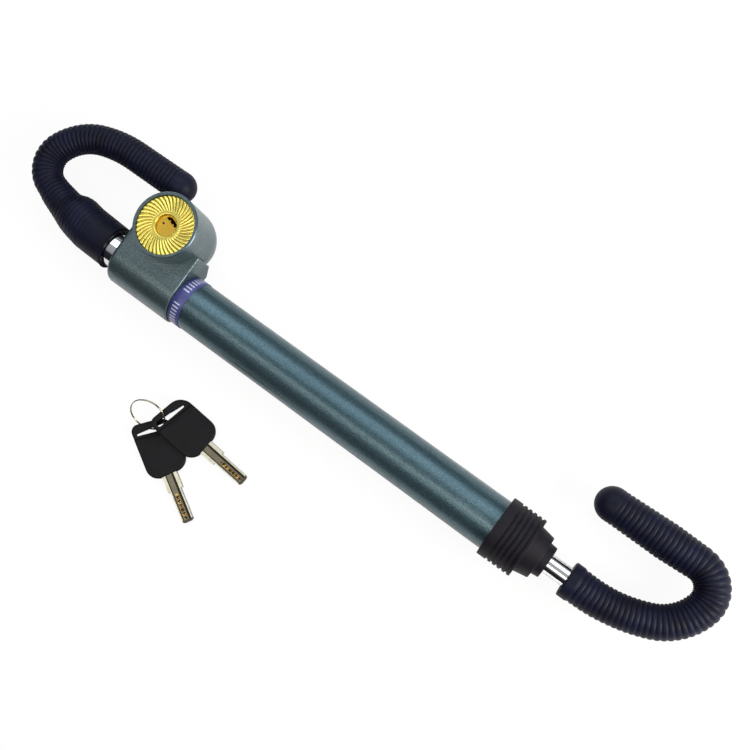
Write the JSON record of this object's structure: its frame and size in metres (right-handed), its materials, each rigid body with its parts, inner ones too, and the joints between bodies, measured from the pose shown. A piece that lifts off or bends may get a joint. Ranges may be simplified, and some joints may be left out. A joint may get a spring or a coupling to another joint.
{
  "type": "steering wheel lock",
  "caption": "Telescoping steering wheel lock: painted tube with a cylinder lock head, a sliding and a fixed padded hook, and keys on a ring.",
  "frame": {"origin": "where the lock cylinder's axis meets the surface that the lock lies on, at the flat foot of the lock boss", "axes": "+X along the bar from the lock head to the fixed hook, +Y towards the side that both hooks open on, +Z out of the lock's face"},
  "size_m": [0.5061, 0.1796, 0.0519],
  "materials": {
    "hammered_paint": "hammered metallic teal-grey paint on steel",
    "cast_paint": "the same paint on the cast lock head",
    "chromed_steel": "polished chromed steel",
    "bright_steel": "bright machined steel",
    "hardened_steel": "hardened steel, ground",
    "spring_steel": "drawn spring wire",
    "rosette_brass": "bright yellow brass, fluted and polished",
    "lock_brass": "turned brass, satin",
    "sleeve_foam": "soft ribbed navy-black vinyl grip",
    "boot_rubber": "matt black moulded rubber",
    "band_film": "indigo printed plastic band, left without words",
    "bow_plastic": "black moulded plastic with a soft sheen",
    "key_steel": "nickel silver key blank, milled",
    "ring_wire": "thin polished steel wire",
    "nylon": "natural moulded nylon"
  },
  "bodies": {
    "bar": {"main_tube": "hammered_paint", "lock_housing": "cast_paint", "label_band": "band_film", "mouth_bush": "nylon", "head_pin_set": "hardened_steel", "web_pin": "hardened_steel", "face_rosette": "rosette_brass", "cylinder_body": "lock_brass", "driver_pins": "lock_brass", "driver_springs": "spring_steel", "end_plug": "bright_steel", "cross_pin": "hardened_steel", "fixed_hook_rod": "chromed_steel", "fixed_hook_sleeve": "sleeve_foam", "end_boot": "boot_rubber"},
    "sliding_hook": {"sliding_shank": "chromed_steel", "stop_ring": "nylon", "stop_screw": "hardened_steel", "sliding_hook_rod": "chromed_steel", "sliding_hook_sleeve": "sleeve_foam"},
    "plug": {"cylinder_plug": "lock_brass", "drill_pin": "hardened_steel", "plug_pins": "lock_brass", "plug_clip": "spring_steel", "cam_tailpiece": "bright_steel"},
    "bolt": {"locking_bolt": "hardened_steel"},
    "ring": {"key_ring": "ring_wire"},
    "key_a": {"key_bow_a": "bow_plastic", "key_blade_a": "key_steel"},
    "key_b": {"key_bow_b": "bow_plastic", "key_blade_b": "key_steel"}
  },
  "joints": [
    {"name": "hook_slide", "type": "slide", "parent": "bar", "child": "sliding_hook", "axis": [-1, 0, 0], "range_m": [0, 0.18]},
    {"name": "plug_turn", "type": "hinge", "parent": "bar", "child": "plug", "pos_m": [0, 0, 0.04], "axis": [0, 0, -1], "range_deg": [0, 90]},
    {"name": "bolt_throw", "type": "slide", "parent": "bar", "child": "bolt", "axis": [0, -1, 0], "range_m": [0, 0.00458]},
    {"name": "key_ring_lift", "type": "slide", "parent": "bar", "child": "ring", "axis": [0, 0, 1], "range_m": [0, 0.08]},
    {"name": "key_a_swing", "type": "hinge", "parent": "ring", "child": "key_a", "pos_m": [0.05433, -0.10411, 0.00352], "axis": [0.031, -0.0179, 0.9994], "range_deg": [-1, 12]},
    {"name": "key_b_swing", "type": "hinge", "parent": "ring", "child": "key_b", "pos_m": [0.0551, -0.09846, 0.00847], "axis": [0.0903, -0.0081, 0.9959], "range_deg": [-5, 12]}
  ],
  "couplings": [
    {"joint": "bolt_throw", "follows": "plug_turn", "m_per_rad": 0.002881}
  ]
}
